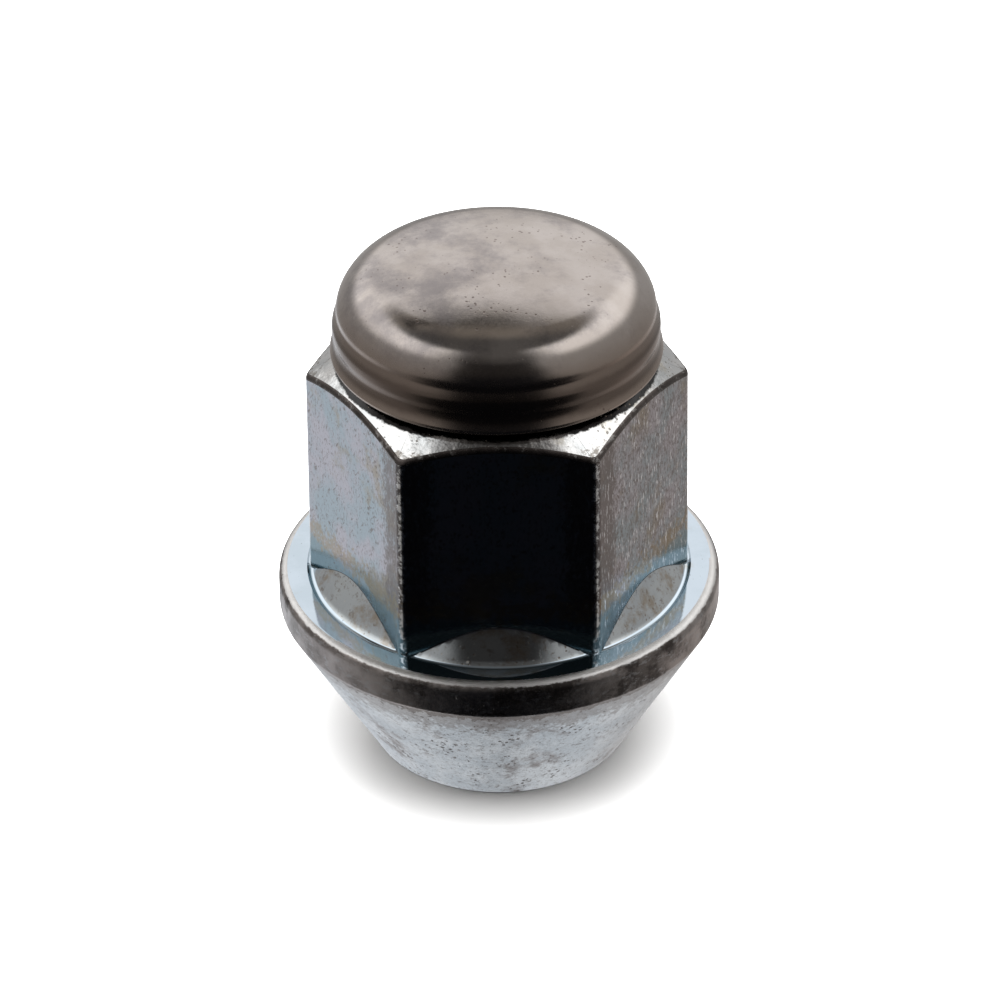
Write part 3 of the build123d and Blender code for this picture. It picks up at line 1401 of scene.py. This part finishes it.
@dataclass(frozen=True)
class StudioLight:
    """The light all round: pale ground, dark ceiling, a bright ring between them and a dark screen in front.

    A step is a pair of levels, at which a share is 0 and 1. It is taken on the part of the direction that
    its name ends with. Across runs to the right and along to the back. Ahead is the part along of the
    level direction, and the sill, the lid and the gap measure up from a tilted plane.
    """

    least_level: float = 0.001
    left_ground: Triple = (1.14, 1.18, 1.24)
    right_ground: Triple = (0.64, 0.59, 0.56)
    ground_across: Step = (-0.4, 0.6)
    nadir: Triple = (1.2, 1.22, 1.25)
    nadir_up: Step = (-0.7, -0.95)
    front_ground: Triple = (0.36, 0.35, 0.34)
    front_ahead: Step = (0.35, -0.25)
    front_up: Step = (-0.96, -0.84)
    wall: Triple = (0.45, 0.44, 0.43)
    wall_up: Step = (-0.5, -0.38)
    front_ceiling: Triple = (0.125, 0.12, 0.115)
    back_ceiling: Triple = (0.27, 0.245, 0.215)
    ceiling_along: Step = (0.1, 0.5)
    sill_tilt: Point = (0.3, 0.07)
    sill_up: Step = (0.36, 0.62)
    lid_tilt: Point = (0.22, 0.06)
    lid_up: Step = (0.8, 0.9)
    ring: Triple = (1.42, 1.4, 1.37)
    back_ring: Triple = (1.1, 1.08, 1.06)
    back_ahead: Step = (0.85, 0.99)
    ring_ahead: Step = (-0.93, -0.4)
    gap: Triple = (0.01, 0.01, 0.012)
    gap_drop: float = 0.055
    gap_drop_across: Step = (-0.09, -0.24)
    gap_foot_up: Step = (0.856, 0.872)
    gap_top_up: Step = (0.884, 0.902)
    gap_along: Step = (0.2, 0.4)
    gap_left_across: Step = (-0.55, -0.4)
    gap_right_across: Step = (0.12, 0.0)
    low_screen: Triple = (0.008, 0.009, 0.012)
    high_screen: Triple = (0.033, 0.031, 0.03)
    screen_tone_up: Step = (0.05, 0.4)
    screen_ahead: Step = (-0.9, -0.74)
    screen_top_up: Step = (0.64, 0.9)
    screen_widening: float = 0.3
    screen_widening_up: Step = (-0.38, 0.08)
    screen_narrowing: float = 0.03
    screen_narrowing_up: Step = (0.25, 0.6)


class LightWork(ShaderBench):
    """A bench that lays the light all round into a world's tree."""

    def __init__(self, light: StudioLight, tree: Tree) -> None:
        """Start with the parts of the direction that is looked in.

        Args:
            light: the light to lay.
            tree: the world's tree.
        """
        super().__init__(tree)
        self.light = light
        self.across, self.along, self.up = self.parts(self.place("ShaderNodeTexCoord").outputs["Generated"])
        level = self.larger(self.span(self.across, self.along), light.least_level)
        self.ahead = self.math("DIVIDE", self.along, level)

    def lay(self) -> None:
        """Lay the ground, the wall, the ceiling, the ring, its gap and the screen, one over another."""
        light = self.light
        tone = self.blend(self.between(self.up, light.wall_up), self.ground_tone(), light.wall)
        above = self.between(self.tilted(light.sill_tilt), light.sill_up)
        ceiling_share = self.between(self.along, light.ceiling_along)
        tone = self.blend(above, tone, self.blend(ceiling_share, light.front_ceiling, light.back_ceiling))
        lid = self.tilted(light.lid_tilt)
        ring = self.times(above, self.rest(self.between(lid, light.lid_up)))
        ring = self.times(ring, self.between(self.ahead, light.ring_ahead))
        ring_tone = self.blend(self.between(self.ahead, light.back_ahead), light.ring, light.back_ring)
        tone = self.blend(ring, tone, ring_tone)
        tone = self.blend(self.gap_share(lid), tone, light.gap)
        screen = self.blend(self.between(self.up, light.screen_tone_up), light.low_screen, light.high_screen)
        tone = self.blend(self.screen_share(), tone, screen)
        background = self.tree.nodes["Background"]
        self.feed(background.inputs["Color"], tone)
        self.feed(background.inputs["Strength"], 1.0)

    def tilted(self, tilt: Point) -> Socket:
        """Return the part up of the direction, from a plane that is tilted to the front and the right."""
        height = self.plus(self.up, self.times(self.along, tilt[0]))
        return self.minus(height, self.times(self.across, tilt[1]))

    def ground_tone(self) -> Socket:
        """Lay the ground: warmer and darker to the right, dull in front, bright straight down.

        Returns:
            The ground's tone.
        """
        light = self.light
        sideways = self.between(self.across, light.ground_across)
        tone = self.blend(sideways, light.left_ground, light.right_ground)
        tone = self.blend(self.between(self.up, light.nadir_up), tone, light.nadir)
        front = self.times(self.between(self.ahead, light.front_ahead), self.between(self.up, light.front_up))
        return self.blend(front, tone, light.front_ground)

    def gap_share(self, lid: Value) -> Socket:
        """Mark the narrow dark gap between the ring and the ceiling.

        Args:
            lid: the part up of the direction, measured from the lid's plane.

        Returns:
            The gap's share, from 0 to 1.
        """
        light = self.light
        drop = self.times(self.between(self.across, light.gap_drop_across), light.gap_drop)
        height = self.minus(lid, drop)
        top = self.rest(self.between(height, light.gap_top_up))
        gap = self.times(self.between(height, light.gap_foot_up), top)
        left = self.between(self.across, light.gap_left_across)
        sides = self.times(left, self.between(self.across, light.gap_right_across))
        return self.times(gap, self.times(self.between(self.along, light.gap_along), sides))

    def screen_share(self) -> Socket:
        """Mark the dark screen in front, which is wider towards its foot.

        Returns:
            The screen's share, from 0 to 1.
        """
        light = self.light
        wider = self.rest(self.between(self.up, light.screen_widening_up))
        narrower = self.times(self.between(self.up, light.screen_narrowing_up), light.screen_narrowing)
        reach = self.minus(self.times(wider, light.screen_widening), narrower)
        screen = self.rest(self.between(self.minus(self.ahead, reach), light.screen_ahead))
        return self.times(screen, self.rest(self.between(self.up, light.screen_top_up)))


@dataclass
class Studio:
    """Floor, light and camera. Sizes in metres, angles in radians."""

    floor_size: float = 6.0
    floor_tone: float = 0.93
    floor_roughness: float = 0.9
    lamp_size: float = 1.2
    lamp_power: float = 38.0
    lamp_height: float = 1.0
    elevation: float = 0.57508
    roll: float = -0.01117
    distance: float = 0.3151124
    focal_share: float = 4.9979
    sensor: float = 36.0
    aim: Triple = (0.000106, 0.0, 0.016848)

    def floor(self) -> Piece:
        """Lay the plain pale floor.

        Returns:
            The floor.
        """
        clear_selection()
        bpy.ops.mesh.primitive_plane_add(size=self.floor_size)
        floor = bpy.context.object
        floor.name = "floor"
        floor.visible_glossy = False
        material = bpy.data.materials.new("pale_floor")
        material.use_nodes = True
        shader = material.node_tree.nodes["Principled BSDF"]
        shader.inputs["Base Color"].default_value = (self.floor_tone, self.floor_tone, self.floor_tone, 1)
        shader.inputs["Roughness"].default_value = self.floor_roughness
        floor.data.materials.append(material)
        return floor

    def surroundings(self) -> bpy.types.World:
        """Make the world that gives the studio's light, and show it without a film look.

        Returns:
            The world.
        """
        world = bpy.data.worlds.new("studio")
        world.use_nodes = True
        LightWork(StudioLight(), world.node_tree).lay()
        bpy.context.scene.world = world
        bpy.context.scene.view_settings.view_transform = "Standard"
        return world

    def lamp(self) -> Piece:
        """Hang the large soft lamp overhead, which lights the floor and doesn't show in the metal.

        Returns:
            The lamp.
        """
        light = bpy.data.lights.new("soft_lamp", "AREA")
        light.size = self.lamp_size
        light.energy = self.lamp_power
        lamp = bpy.data.objects.new("soft_lamp", light)
        lamp.location = (0.0, 0.0, self.lamp_height)
        lamp.visible_glossy = False
        bpy.context.collection.objects.link(lamp)
        return lamp

    def camera(self) -> Piece:
        """Set the camera, looking down on the nut from the front.

        Returns:
            The camera.
        """
        lens = bpy.data.cameras.new("camera")
        lens.sensor_width = self.sensor
        lens.lens = self.focal_share * self.sensor
        camera = bpy.data.objects.new("camera", lens)
        bpy.context.collection.objects.link(camera)
        away = Vector((0, -math.cos(self.elevation), math.sin(self.elevation))) * self.distance
        camera.matrix_world = (
            Matrix.Translation(Vector(self.aim) + away)
            @ Matrix.Rotation(math.pi / 2 - self.elevation, 4, "X")
            @ Matrix.Rotation(self.roll, 4, "Z")
        )
        bpy.context.scene.camera = camera
        return camera


def main() -> None:
    """Build the nut's pieces and the studio."""
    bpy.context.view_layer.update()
    groups = {
        "streaks": streak_group(),
        "specks": speck_group(),
        "band": band_group(),
        "corners": corner_group(),
    }
    for maker in (NutBody(), PressedCap()):
        piece = maker.build(groups)
        log.info("built %s", piece.name)
    studio = Studio()
    for part in (studio.floor(), studio.surroundings(), studio.lamp(), studio.camera()):
        log.info("studio has its %s", part.name)


if __name__ == "__main__":
    main()
